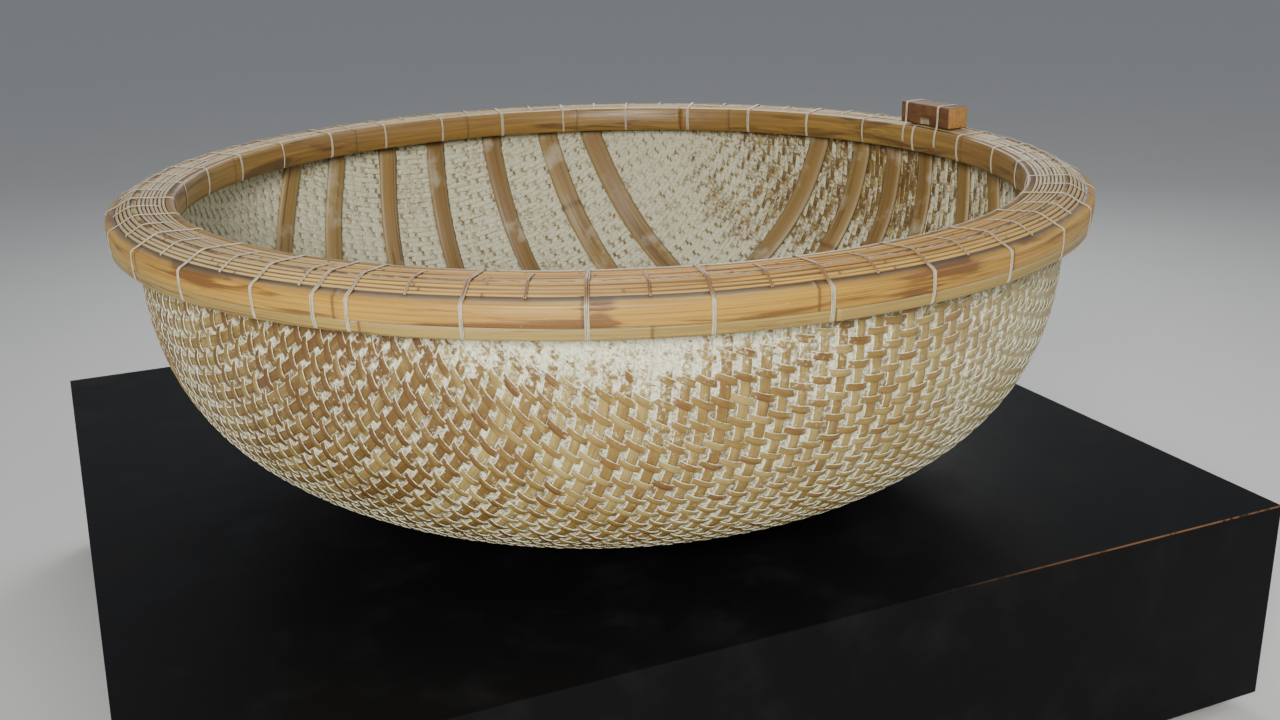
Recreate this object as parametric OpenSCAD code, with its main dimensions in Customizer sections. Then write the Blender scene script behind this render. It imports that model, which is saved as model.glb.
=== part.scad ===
// Round basket boat (coracle) of woven bamboo, on its low display plinth.
// Millimetres, +Z up. The origin is on the floor, under the middle of the plinth.
// The plinth's front faces -Y. The boat's own axis is moved and turned by boat_x, boat_y and boat_turn.

/* [Boat] */
// Radius of the rim, measured to the outside of the outer hoop
rim_r = 950; // [800:5:1200]
// Height of the boat, from the plinth to the crest of the rim
boat_h = 650; // [520:5:800]
// Place of the boat's axis on the plinth, left to right
boat_x = -15; // [-100:1:100]
// Place of the boat's axis on the plinth, front to back
boat_y = -165; // [-300:1:300]
// Turn of the boat on the plinth, in degrees
boat_turn = 7.7; // [-45:0.1:45]

/* [Woven hull] */
// Thickness of the woven wall with its coat of lime
hull_t = 12; // [8:0.5:20]
// How full the sides are: 2 is an ellipse, more is squarer
side_fullness = 2.5; // [2:0.05:3.2]
// How full the bottom is: 2 is an ellipse, more is squarer
bottom_fullness = 2.7; // [2:0.05:3.2]
// How far the round bottom is pressed flat where it rests
bottom_press = 2; // [1:0.5:6]

/* [Rim] */
// Height of the rim, from the outer hoop's lower edge to the crest
rim_h = 76; // [60:1:110]
// Thickness of the outer hoop
outer_hoop_t = 18; // [12:1:26]
// Height of the narrow lower lath of the outer hoop
lower_lath_h = 19; // [12:1:26]
// Height of the outer hoop, both laths together
outer_hoop_h = 53; // [44:1:58]
// Thickness of one of the thin laths that stand on edge
lath_t = 7; // [4:0.5:10]
// Number of thin laths outside the hull's edge
outer_laths = 4; // [2:1:8]
// Number of thin laths inside the hull's edge
inner_laths = 7; // [3:1:10]
// Thickness of the inner hoop
inner_hoop_t = 17; // [12:1:26]
// Height of the inner hoop's lower edge above the outer hoop's
inner_hoop_rise = 15; // [5:1:25]

/* [Lashings] */
// Number of long lashings round the whole rim, with a short one between each pair
lashings = 33; // [16:1:48]
// Width of a lashing
lashing_w = 6.5; // [2:0.5:10]
// Thickness of a lashing
lashing_t = 1.6; // [1:0.1:3]

/* [Ribs] */
// Width of a rib
rib_w = 46; // [30:1:60]
// Thickness of a rib
rib_t = 7; // [4:0.5:12]
// Angle between neighbouring ribs of the lower layer
rib_pitch_a = 6; // [4:0.1:7]
// Angle between neighbouring ribs of the upper layer
rib_pitch_b = 5.2; // [4:0.1:7]
// Height above the rim of the line that each layer of ribs fans out from
rib_fan_h = 1240; // [900:10:2000]

/* [Oar block] */
// Length of the block, along the rim
block_l = 165; // [120:1:220]
// Width of the block, across the rim
block_w = 55; // [40:1:70]
// Height of the block above the crest
block_h = 47; // [30:1:70]
// How far the block's outer face stands in from the woven wall
block_set_in = 4.3; // [0:0.1:12]
// Direction of the block from the boat's axis, in degrees from the boat's own +X
block_turn = -2.9; // [-180:0.1:180]

/* [Plinth] */
// Width of the plinth
plinth_w = 2150; // [1900:10:2600]
// Depth of the plinth, front to back
plinth_d = 1940; // [1600:10:2600]
// Height of the plinth, from the floor to its top
plinth_h = 460; // [250:5:700]
// Height of the recessed base
kick_h = 40; // [20:1:100]
// How far the base is set in
kick_in = 60; // [20:1:120]
// Thickness of the top and side boards
board_t = 18; // [12:1:30]
// Thickness of the bottom board
floor_t = 12; // [6:1:24]
// Width of the base's rails
rail_w = 45; // [30:1:80]

/* [Hidden] */
$fn = 96;
// Ribs in each layer
ribs = 7;
// Clearance between a piece and the one it is laid against
fit_gap = 0.3;
// How far each rib was set from its even place, in degrees
drift_a = [-0.5, -2, -1.5, -0.5, -0.5, 0, -0.5];
drift_b = [-0.4, -0.5, -0.5, 0.4, -0.2, -0.9, -0.8];
// Depth of the grooves between the laths' edges
lath_groove = 2;
// Length of rib that is hidden behind the inner hoop
rib_tuck = 4;
// How far the faces of the two hoops bulge at the middle of their height
hoop_bulge = 4;
// The long lashings' spacing drifts by this angle round the rim, from this direction
lashing_drift = 2.3;
drift_from = 20;
// Direction of the one odd long lashing between two others
odd_lashing = 214;
// Places of the oar block's two lashings along it, as shares of its length
block_lashed_at = [-0.28, 0.38];
// Steps along the hull's curve
steps = 24;

rim_z = boat_h - rim_h;
hull_r = rim_r - outer_hoop_t - fit_gap - outer_laths * lath_t;
hull_in_r = hull_r - hull_t;
inner_hoop_out_r = hull_in_r - inner_laths * lath_t - fit_gap;
rim_in_r = inner_hoop_out_r - inner_hoop_t;
lath_out_r = rim_r - outer_hoop_t - fit_gap;
// Heights above the rim's lower edge: the outer hoop's inner top edge, and the inner hoop's top
shoulder_h = outer_hoop_h + (rim_h - outer_hoop_h) / 3;
inner_top_h = rim_h - 4;
rib_top_z = rim_z + inner_hoop_rise + rib_tuck;
lash_at = lashing_t + fit_gap;

// ---- the hull's curve ----

// Outer curve at parameter a, from 0 at the rim to 90 at the middle of the bottom
function curve_p(a) = [
    hull_r * pow(cos(a), 2 / side_fullness),
    rim_z - (rim_z + bottom_press) * pow(sin(a), 2 / bottom_fullness)];

// Unit normal of the curve that points into the bowl
function inward(a) =
    let (lo = max(a - 0.5, 0.01), hi = min(a + 0.5, 89.99), d = curve_p(hi) - curve_p(lo))
    [d[1], -d[0]] / norm(d);

// The curve moved into the bowl by d, kept above the flat of the bottom
function inner_p(a, d) =
    let (p = curve_p(a) + d * inward(a))
    [max(p[0], 0), max(p[1], d)];

// Parameters of the steps, closer together near the rim and the bottom
function step_at(k) = 90 * (0.5 - 0.5 * cos(180 * k / steps));
function curve_in(d) = [for (k = [0:steps]) inner_p(step_at(k), d)];
function back(list) = [for (k = [len(list) - 1:-1:0]) list[k]];

// ---- the rim's section: radius, and height above the rim's lower edge ----

// The bulged faces of the two hoops
function bulge(z, lo, hi) = hoop_bulge * pow((2 * z - lo - hi) / (hi - lo), 2);
function outer_face_r(z) = rim_r - bulge(z, 0, rim_h - hoop_bulge);
function inner_face_r(z) = rim_in_r + bulge(z, inner_hoop_rise, inner_top_h);

// Points up a hoop's face, from height lo to hi
function outer_face(lo, hi) = [for (i = [0:4]) let (z = lo + (hi - lo) * i / 4) [outer_face_r(z), z]];
function inner_face(lo, hi) = [for (i = [0:4]) let (z = lo + (hi - lo) * i / 4) [inner_face_r(z), z]];
function shift(list, by) = [for (p = list) p + by];

// The outline of the whole rim, grown by g
function rim_section(g) = concat(
    [[outer_face_r(0) + g, -g]],
    shift(outer_face(0, outer_hoop_h), [g, 0]),
    [[lath_out_r, shoulder_h + g], [hull_r, rim_h + g], [hull_in_r, rim_h + g],
        [inner_hoop_out_r, inner_top_h + g], [inner_face_r(inner_top_h) - g, inner_top_h + g]],
    back(shift(inner_face(inner_hoop_rise, inner_top_h), [-g, 0])),
    [[inner_face_r(inner_hoop_rise) - g, inner_hoop_rise - g], [hull_in_r, inner_hoop_rise - g],
        [hull_r, -g]]);

// ---- placing ----

module on_boat() {
    translate([boat_x, boat_y, plinth_h]) rotate(boat_turn) children();
}

module ring(points) {
    on_boat() rotate_extrude() polygon(points);
}

module rim_ring(points) {
    on_boat() translate([0, 0, rim_z]) rotate_extrude() polygon(points);
}

// ---- the boat ----

module woven_hull() {
    color("tan")
        ring(concat([[hull_in_r, boat_h], [hull_r, boat_h]], curve_in(0), back(curve_in(hull_t))));
}

module outer_hoop_band() {
    seam = lower_lath_h + fit_gap;
    color("peru")
        rim_ring(concat([[lath_out_r + fit_gap, seam]], outer_face(seam, outer_hoop_h),
            [[lath_out_r + fit_gap, shoulder_h]]));
}

module outer_hoop_lath() {
    color("burlywood")
        rim_ring(concat([[lath_out_r + fit_gap, 0]], outer_face(0, lower_lath_h),
            [[lath_out_r + fit_gap, lower_lath_h]]));
}

// Laths pressed together from radius r0 outwards, with their top edges on a line from h0 to h1
module laths(r0, count, h0, h1, foot) {
    corners = [[0.1, 0], [0.9, 0], [1, lath_groove]];
    tops = [for (k = [0:count - 1], c = corners)
        if (k < count - 1 || c[0] < 1)
            [r0 + (k + c[0]) * lath_t, h0 + (h1 - h0) * (k + c[0]) / count - c[1]]];
    rim_ring(concat([[r0, foot]], tops, [[r0 + count * lath_t, foot]]));
}

module outer_lath_ring() {
    color("goldenrod") laths(hull_r, outer_laths, rim_h, shoulder_h, 6);
}

module inner_lath_ring() {
    color("goldenrod")
        laths(hull_in_r - inner_laths * lath_t, inner_laths, inner_top_h, rim_h,
            inner_hoop_rise + rib_tuck + fit_gap);
}

module inner_hoop() {
    color("peru")
        rim_ring(concat([[inner_hoop_out_r, inner_top_h]],
            back(inner_face(inner_hoop_rise, inner_top_h)), [[inner_hoop_out_r, inner_hoop_rise]]));
}

// ---- the lashings ----

// A flat band that lies in a plane through the boat's axis
module in_section(turn) {
    on_boat() translate([0, 0, rim_z]) rotate(turn) rotate([90, 0, 0])
        linear_extrude(lashing_w, center = true) children();
}

// Direction of the long lashing at place k, which is a half for a short one
function lashing_dir(k) =
    let (even = k * 360 / lashings)
    even + lashing_drift * sin(even - drift_from);

// What a lashing can't pass through: the woven wall and a rib's end, below the crest
module wall_in_section() {
    inner = hull_in_r - rib_t - 3 * fit_gap;
    translate([inner, -rim_h]) square([hull_r + fit_gap - inner, 1.9 * rim_h]);
}

module long_lashings() {
    color("gainsboro")
        for (turn = concat([for (k = [0:lashings - 1]) lashing_dir(k)], [odd_lashing]))
            in_section(turn) difference() {
                polygon(rim_section(lash_at));
                polygon(rim_section(fit_gap));
                wall_in_section();
            }
}

module short_lashings() {
    inner_end = hull_in_r - (inner_laths - 1.5) * lath_t;
    outer_end = lath_out_r + outer_hoop_t / 3;
    color("gainsboro")
        for (k = [0:lashings - 1])
            in_section(lashing_dir(k + 0.5)) intersection() {
                difference() {
                    polygon(rim_section(lash_at));
                    polygon(rim_section(fit_gap));
                }
                translate([inner_end, outer_hoop_h]) square([outer_end - inner_end, rim_h]);
            }
}

// ---- the ribs ----

// How far a rib stands off the wall: the upper layer rides over the lower one below cross_z,
// and comes down to the wall at clear_z
cross_z = rim_z * 0.42;
clear_z = rim_z * 0.8;
function lift(z) =
    let (s = min(max((clear_z - z) / (clear_z - cross_z), 0), 1))
    (rib_t + fit_gap) * s * s * (3 - 2 * s);

// The face of a rib that is d above its underside, from its top end to the middle of the bottom
function rib_face(layer, d) = concat(
    [[hull_in_r - fit_gap - d, rib_top_z]],
    [for (k = [0:steps])
        let (a = step_at(k)) inner_p(a, hull_t + fit_gap + d + layer * lift(curve_p(a)[1]))]);

// One rib: a slice of its layer between two planes that lean by angle
module rib(layer, angle) {
    depth = 2 * rib_fan_h + rim_z;
    color("sienna") on_boat() rotate(-90 * layer) intersection() {
        rotate_extrude() polygon(concat(rib_face(layer, 0), back(rib_face(layer, rib_t))));
        translate([0, 0, rim_z + rib_fan_h]) rotate([0, angle, 0])
            translate([-rib_w / 2, -rim_r, -depth]) cube([rib_w, 2 * rim_r, depth]);
    }
}

function rib_angle(k, pitch, drift) = (k - (ribs + 1) / 2) * pitch + drift[k - 1];

// ---- the oar block ----

block_in_r = hull_in_r - block_set_in - block_w;
block_foot = rim_h + lash_at + fit_gap;

module oar_block() {
    color("brown") on_boat() rotate(block_turn) translate([block_in_r, -block_l / 2, rim_z + block_foot])
        cube([block_w, block_l, block_h]);
}

// The block's end, grown by g and carried down to the laths
module block_end(g) {
    translate([block_in_r - g, rim_h - lath_groove]) square([block_w + 2 * g, block_foot + block_h + g
        - rim_h + lath_groove]);
}

// They lie over the rim's own lashings, which may pass under them
module block_lashings() {
    color("gainsboro")
        for (along = block_lashed_at * block_l)
            on_boat() rotate(block_turn) translate([0, along, rim_z]) rotate([90, 0, 0])
                linear_extrude(lashing_w, center = true) difference() {
                    bow = along * along / (2 * hull_r);
                    union() {
                        translate([-bow, 0]) polygon(rim_section(2 * lash_at + fit_gap));
                        block_end(lash_at);
                    }
                    translate([-bow, 0]) polygon(rim_section(lash_at + 2 * fit_gap));
                    block_end(fit_gap);
                    translate([-bow, 0]) wall_in_section();
                }
}

// ---- the plinth ----

module board(size, centre) {
    color("black") translate(centre) translate([-size[0] / 2, -size[1] / 2, 0]) cube(size);
}

side_h = plinth_h - board_t - kick_h;
base_w = plinth_w - 2 * kick_in;
base_d = plinth_d - 2 * kick_in;

module plinth_top() {
    board([plinth_w, plinth_d, board_t], [0, 0, plinth_h - board_t]);
}

// A long side panel, on the side given by -1 for the front or 1 for the back
module long_panel(side) {
    board([plinth_w, board_t, side_h], [0, side * (plinth_d - board_t) / 2, kick_h]);
}

module short_panel(side) {
    board([board_t, plinth_d - 2 * board_t, side_h], [side * (plinth_w - board_t) / 2, 0, kick_h]);
}

module plinth_floor() {
    board([plinth_w - 2 * board_t, plinth_d - 2 * board_t, floor_t], [0, 0, kick_h]);
}

module long_rail(side) {
    board([base_w, rail_w, kick_h], [0, side * (base_d - rail_w) / 2, 0]);
}

module short_rail(side) {
    board([rail_w, base_d - 2 * rail_w, kick_h], [side * (base_w - rail_w) / 2, 0, 0]);
}

module base_bearer() {
    board([base_w - 2 * rail_w, rail_w, kick_h], [0, 0, 0]);
}

woven_hull();  // hull
outer_hoop_band();
outer_hoop_lath();
outer_lath_ring();  // outer_laths
inner_lath_ring();  // inner_laths
inner_hoop();
long_lashings();
short_lashings();
for (k = [1:ribs]) rib(0, rib_angle(k, rib_pitch_a, drift_a));
for (k = [1:ribs]) rib(1, rib_angle(k, rib_pitch_b, drift_b));
oar_block();
block_lashings();
plinth_top();
long_panel(-1);  // plinth_front
long_panel(1);  // plinth_back
short_panel(-1);  // plinth_left
short_panel(1);  // plinth_right
plinth_floor();
long_rail(-1);  // base_front
long_rail(1);  // base_back
short_rail(-1);  // base_left
short_rail(1);  // base_right
base_bearer();
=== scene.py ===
"""Round woven basket boat on its black plinth: the looks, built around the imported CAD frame.

The boat's own frame has its origin on the plinth under the boat's axis, +Z up, and +X and +Y along the two
families of strips. The woven mat is laid on the hull's curve as a net of equal cells, so the strips run
straight up the wall along X and Y and slope in chevrons between them, as a flat mat does in a round bowl.
"""

import math

import bpy
import numpy as np
from mathutils import Matrix, Vector


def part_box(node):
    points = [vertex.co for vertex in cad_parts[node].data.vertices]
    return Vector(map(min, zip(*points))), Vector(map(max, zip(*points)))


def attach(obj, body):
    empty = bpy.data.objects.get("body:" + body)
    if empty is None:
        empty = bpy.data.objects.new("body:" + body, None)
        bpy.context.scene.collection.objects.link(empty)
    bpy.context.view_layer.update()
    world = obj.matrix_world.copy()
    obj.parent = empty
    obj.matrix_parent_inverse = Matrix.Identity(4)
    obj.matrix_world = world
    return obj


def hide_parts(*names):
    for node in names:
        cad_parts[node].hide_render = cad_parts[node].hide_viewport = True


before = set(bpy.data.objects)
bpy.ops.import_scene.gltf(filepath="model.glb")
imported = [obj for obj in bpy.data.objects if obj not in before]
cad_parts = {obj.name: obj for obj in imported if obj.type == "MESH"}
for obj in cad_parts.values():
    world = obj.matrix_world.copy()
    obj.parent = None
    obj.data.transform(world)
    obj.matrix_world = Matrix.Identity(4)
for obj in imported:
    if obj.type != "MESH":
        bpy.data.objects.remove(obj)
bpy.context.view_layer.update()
rng = np.random.default_rng(11)


# ---- sizes from the frame

MM = 0.001
BAND_LO, BAND_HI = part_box("outer_hoop_band")
LATH_LO, LATH_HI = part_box("outer_hoop_lath")
INNER_LO, INNER_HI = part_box("inner_hoop")
HULL_LO, HULL_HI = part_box("hull")
BLOCK_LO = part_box("oar_block")[0]
PLINTH_LO, PLINTH_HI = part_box("plinth_top")

AXIS = np.array([(HULL_LO.x + HULL_HI.x) / 2, (HULL_LO.y + HULL_HI.y) / 2, PLINTH_HI.z])
TURN = math.radians(7.7)  # of the boat on its plinth
RIM_R = (BAND_HI.x - BAND_LO.x) / 2
HULL_R = (HULL_HI.x - HULL_LO.x) / 2
RIM_Z = LATH_LO.z - AXIS[2]
CREST = HULL_HI.z - AXIS[2]
HOOP_TOP = BAND_HI.z - AXIS[2]
SEAM = LATH_HI.z - AXIS[2]
INNER_FOOT = INNER_LO.z - AXIS[2]
HULL_T = 12 * MM
LATH_T = 7 * MM
OUTER_LATHS = 4
INNER_LATHS = 7
INNER_HOOP_T = 17.3 * MM
INNER_R = HULL_R - HULL_T - INNER_LATHS * LATH_T - INNER_HOOP_T
SIDE_FULLNESS = 2.5
BOTTOM_FULLNESS = 2.7
BOTTOM_PRESS = 2 * MM


def place(points):
    """Points of the boat's own frame, in the row frame."""
    x, y, z = np.moveaxis(points, -1, 0)
    c, s = math.cos(TURN), math.sin(TURN)
    return triple(AXIS[0] + c * x - s * y, AXIS[1] + s * x + c * y, AXIS[2] + z)


# ---- meshes

def new_object(name, data):
    made = bpy.data.objects.new(name, data)
    bpy.context.scene.collection.objects.link(made)
    return made


def triple(*values):
    """Three values for each corner of a tube's rings, in one array."""
    return np.stack(np.broadcast_arrays(*values), -1)


class Parts:
    """Collects closed tubes with their attributes, which become one mesh object."""

    def __init__(self):
        self.verts, self.faces, self.data, self.count = [], [], {}, 0

    def add(self, rings, closed=False, **data):
        """A tube through rings of corners of the boat's frame, turned so that its faces look outward.

        An attribute is one value, one for each ring, or three for each corner.
        """
        verts = place(rings).reshape(-1, 3)
        faces = tube_faces(*rings.shape[:2], closed)
        a, b, c, d = (verts[faces[:, corner]] for corner in range(4))
        volume = (np.cross(a, b) * c).sum() + (np.cross(a, c) * d).sum()
        self.verts.append(verts)
        self.faces.append((faces if volume > 0 else faces[:, ::-1]) + self.count)
        for key, values in data.items():
            size = (3,) if np.ndim(values) == 3 else ()
            values = np.broadcast_to(values, rings.shape[:2] + size).reshape(-1, *size)
            self.data.setdefault(key, []).append(values)
        self.count += len(verts)

    def piece(self, name, material, slot, replaces):
        """One mesh object in the row frame, riding on the root body in the place of its CAD nodes."""
        mesh = bpy.data.meshes.new(name)
        verts = np.concatenate(self.verts).astype(np.float32)
        faces = np.concatenate(self.faces).astype(np.int32)
        mesh.vertices.add(len(verts))
        mesh.vertices.foreach_set("co", verts.ravel())
        mesh.loops.add(faces.size)
        mesh.loops.foreach_set("vertex_index", faces.ravel())
        mesh.polygons.add(len(faces))
        mesh.polygons.foreach_set("loop_start", np.arange(0, faces.size, 4, dtype=np.int32))
        mesh.update(calc_edges=True)
        mesh.validate()
        mesh.polygons.foreach_set("use_smooth", np.ones(len(mesh.polygons), bool))
        for key, values in self.data.items():
            values = np.concatenate(values).astype(np.float32)
            kind, field = ("FLOAT_VECTOR", "vector") if values.ndim == 2 else ("FLOAT", "value")
            mesh.attributes.new(key, kind, "POINT").data.foreach_set(field, values.ravel())
        mesh.materials.append(material)
        piece = new_object(name, mesh)
        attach(piece, "root")
        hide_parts(*replaces)


def tube_faces(rings, sides, closed):
    """Quads of a tube of so many rings with so many corners each; an open one gets quad caps."""
    i = np.arange(rings if closed else rings - 1)[:, None]
    j = np.arange(sides)[None, :]
    a = i * sides + j
    b = i * sides + (j + 1) % sides
    c = (i + 1) % rings * sides + (j + 1) % sides
    d = (i + 1) % rings * sides + j
    quads = np.stack([a, b, c, d], -1).reshape(-1, 4)
    if closed:
        return quads
    caps = []
    for base, flip in ((0, 1), ((rings - 1) * sides, -1)):
        for k in range((sides - 2) // 2):
            quad = [base + k, base + sides - 1 - k, base + sides - 2 - k, base + k + 1]
            caps.append(quad[::flip])
    return np.concatenate([quads, np.array(caps)])


# ---- the hull's curve and the net on it

WEAVE_IN = 6 * MM


def hull_surface(p, inset):
    """Value and gradient of the hull's equation, for the surface that lies inset inside the outer one."""
    r = np.hypot(p[:, 0], p[:, 1]) + 1e-12
    wide = HULL_R - inset
    deep = RIM_Z + BOTTOM_PRESS - inset
    q = np.maximum((RIM_Z - p[:, 2]) / deep, 0)
    value = (r / wide) ** SIDE_FULLNESS + q ** BOTTOM_FULLNESS - 1
    slope_r = SIDE_FULLNESS * (r / wide) ** (SIDE_FULLNESS - 1) / wide
    slope_z = -BOTTOM_FULLNESS * q ** (BOTTOM_FULLNESS - 1) / deep
    gradient = np.stack([slope_r * p[:, 0] / r, slope_r * p[:, 1] / r, slope_z], -1)
    return value, gradient


def meridian(inset):
    """Radius and height of the hull's curve at even steps of length, from the bottom's middle upwards."""
    t = np.linspace(np.pi / 2, 0, 4000)
    r = (HULL_R - inset) * np.cos(t) ** (2 / SIDE_FULLNESS)
    z = RIM_Z - (RIM_Z + BOTTOM_PRESS - inset) * np.sin(t) ** (2 / BOTTOM_FULLNESS)
    r[0] = 0
    r = np.append(r, HULL_R - inset)
    z = np.append(z, CREST + 0.2)
    length = np.append(0, np.cumsum(np.hypot(np.diff(r), np.diff(z))))
    return length, r, z


def equal_net(step, inset):
    """A quarter of the mat: a grid of points on the hull whose neighbours are all one step apart."""
    length, r, z = meridian(inset)
    top = np.interp(CREST, z, length)
    n = int(top / step) + 3
    s = np.arange(n) * step
    grid = np.full((n, n, 3), np.nan)
    line_r, line_z = np.interp(s, length, r), np.interp(s, length, z)
    grid[:, 0] = np.stack([line_r, 0 * s, line_z], -1)
    grid[0, :] = np.stack([0 * s, line_r, line_z], -1)
    for total in range(2, 2 * n - 1):
        i = np.arange(max(1, total - n + 1), min(n - 1, total - 1) + 1)
        j = total - i
        a, b, o = grid[i - 1, j], grid[i, j - 1], grid[i - 1, j - 1]
        good = np.isfinite(a[:, 0] + b[:, 0] + o[:, 0]) & (o[:, 2] < CREST + 0.05)
        i, j, a, b, o = i[good], j[good], a[good], b[good], o[good]
        if not len(i):
            continue
        p = a + b - o
        for _ in range(12):
            value, gradient = hull_surface(p, inset)
            da, db = p - a, p - b
            rows = np.stack([gradient, 2 * da, 2 * db], 1)
            miss = np.stack([value, (da * da).sum(1) - step ** 2, (db * db).sum(1) - step ** 2], -1)
            p = p - np.linalg.solve(rows + 1e-9 * np.eye(3), miss[..., None])[..., 0]
        fits = (np.abs(np.linalg.norm(p - a, axis=1) - step) < step * 0.02) & np.isfinite(p[:, 0])
        grid[i[fits], j[fits]] = p[fits]
    return grid


NET_STEP = 10 * MM
NET = equal_net(NET_STEP, WEAVE_IN)


def on_net(u, v):
    """Points of the mat at lengths u and v from its middle, by straight steps in the net's cells."""
    gu, gv = np.abs(u) / NET_STEP, np.abs(v) / NET_STEP
    last = len(NET) - 2
    i, j = np.minimum(gu.astype(int), last), np.minimum(gv.astype(int), last)
    fu, fv = (gu - i)[..., None], (gv - j)[..., None]
    p = ((NET[i, j] * (1 - fu) + NET[i + 1, j] * fu) * (1 - fv)
         + (NET[i, j + 1] * (1 - fu) + NET[i + 1, j + 1] * fu) * fv)
    p[..., 0] *= np.sign(u + 1e-12)
    p[..., 1] *= np.sign(v + 1e-12)
    return p


def outward(p):
    """Unit normals of the hull at points of the boat's frame."""
    flat = p.reshape(-1, 3)
    g = hull_surface(flat, WEAVE_IN)[1]
    return (g / np.linalg.norm(g, axis=1)[:, None]).reshape(p.shape)


# ---- the woven mat

U_PITCH = 32 * MM
W_PITCH = 12.6 * MM
U_WIDTH = 18 * MM
W_WIDTH = 13.0 * MM
U_THICK = 2.4 * MM
W_THICK = 2.2 * MM
U_SWAY = 1.1 * MM
W_SWAY = 3.1 * MM
MAT_TOP = RIM_Z + 24 * MM
LEAST_Z = 0.3 * MM  # of the mat over the plinth
# A strip's outline, in shares of its width and its thickness.
SECTION = np.array([(-0.5, 0.05), (-0.4, 0.5), (0.4, 0.5), (0.5, 0.05), (0.4, -0.5), (-0.4, -0.5)])


def smooth(x):
    """0 up to 0, 1 from 1 on and a smooth step between them."""
    x = np.clip(x, 0, 1)
    return x * x * (3 - 2 * x)


def near(angle, middle, half):
    """1 at a direction from the boat's axis, falling to 0 at half that many degrees to either side."""
    return smooth(1 - np.abs((angle - middle + 180) % 360 - 180) / half)


def waves(x, seed, longest):
    """A smooth random line of x in metres, between about -1 and 1."""
    draw = np.random.default_rng(seed)
    out = np.zeros_like(x)
    for k in range(5):
        out += np.sin(x * 2 * np.pi / longest * (1 + k * 0.83) + draw.uniform(0, 6.28)) / (1 + k * 0.6)
    return out / 2.2


def w_is_outside(i, j):
    """The twill: each W strip passes outside every third U strip, one further along in each next row."""
    return (i + j) % 3 == 0


def reach(fixed, swap):
    """How far a strip runs either way from its middle before it is under the rim."""
    run = np.arange(0, 1.4, 3 * MM)
    held = np.full_like(run, fixed)
    z = (on_net(run, held) if swap else on_net(held, run))[:, 2]
    below = z < MAT_TOP
    return run[np.argmin(below)] if below[0] else 0


def direction(p):
    """Direction of points from the boat's axis, in degrees from 0 to 360."""
    return np.degrees(np.arctan2(p[..., 1], p[..., 0])) % 360


def wall_marks(p, outer, laid_bare):
    """Lime and red-brown stain at points of the boat's frame; a stain under 0 is a thin wash of lime."""
    angle, z = direction(p), p[..., 2]
    under_rim = smooth(1 - (RIM_Z - z) / 0.15)
    lime = 0.64 * near(angle, 238, 30) * under_rim + 0.14 * near(angle, 288, 34) + 0.1 * smooth(1 - z / 0.3)
    stain = (0.6 * near(angle, 207, 34) * smooth(z / 0.4) + 0.35 * near(angle, 222, 24) * smooth(z / 0.5)
             + 0.25 * near(angle, 258, 16) * smooth(z / 0.5 - 0.2) - 0.7 * near(angle, 300, 44))
    bare = near(angle, 12, 46) * smooth(z / 0.45 - 0.1)
    lime = np.where(outer, lime, -laid_bare * bare)
    stain = np.where(outer, stain, laid_bare * (0.45 + 0.6 * bare))
    return lime, stain


def crossing_sine(along, across, swap):
    """Sine of the angle between the two families of strips, which is least on the wall's diagonals."""
    u, v = (along, across) if swap else (across, along)
    nudge = 2 * MM
    a = on_net(u + nudge, v) - on_net(u - nudge, v)
    b = on_net(u, v + nudge) - on_net(u, v - nudge)
    sine = np.linalg.norm(np.cross(a, b), axis=1) / (np.linalg.norm(a, axis=1) * np.linalg.norm(b, axis=1))
    return np.clip(np.nan_to_num(sine, nan=1.0), 0.6, 1)


def add_strip(parts, number, fixed, run, height, width, thick, swap, tone):
    """One strip of the mat: rings of six corners along run, at a fixed place across the mat."""
    drift = 0.7 * MM * waves(run, number + (5000 if swap else 1000), 0.7)
    wider = width / crossing_sine(run, np.full_like(run, fixed), swap)
    across = fixed + drift[:, None] + SECTION[:, 0] * wider[:, None]
    along = np.repeat(run[:, None], len(SECTION), 1)
    p = on_net(along, across) if swap else on_net(across, along)
    good = np.isfinite(p).all((1, 2))
    kept = slice(np.argmax(good), len(good) - np.argmax(good[::-1]))
    p, along, height = p[kept], along[kept], height[kept]
    lift = height[:, None] + SECTION[:, 1] * thick
    p = p + outward(p) * lift[..., None]
    p[..., 2] = np.maximum(p[..., 2], LEAST_Z)
    outer = np.broadcast_to(SECTION[:, 1] >= 0, lift.shape)
    low = smooth(0.36 - height[:, None] / (2 * W_SWAY)) if swap else 0.2
    patchy = 1 + 0.7 * waves(run[kept], number + (9000 if swap else 8000), 0.16)
    lime, stain = wall_marks(p, outer, (0.4 if swap else 1.0) * patchy[:, None])
    lime = lime + np.where(outer, 0.03 + 0.6 * low, 0.84)
    # Across a strip, over 0 is the side where the shader's lime line is stronger as a painted highlight; on W
    # strips it is the side towards the rim.
    parts.add(p, marks=triple(lime, stain, 1.0 - outer), tone=tone[kept, None],
              weave_at=triple(along, SECTION[:, 0] * np.sign(fixed), number * 0.37))


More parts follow.
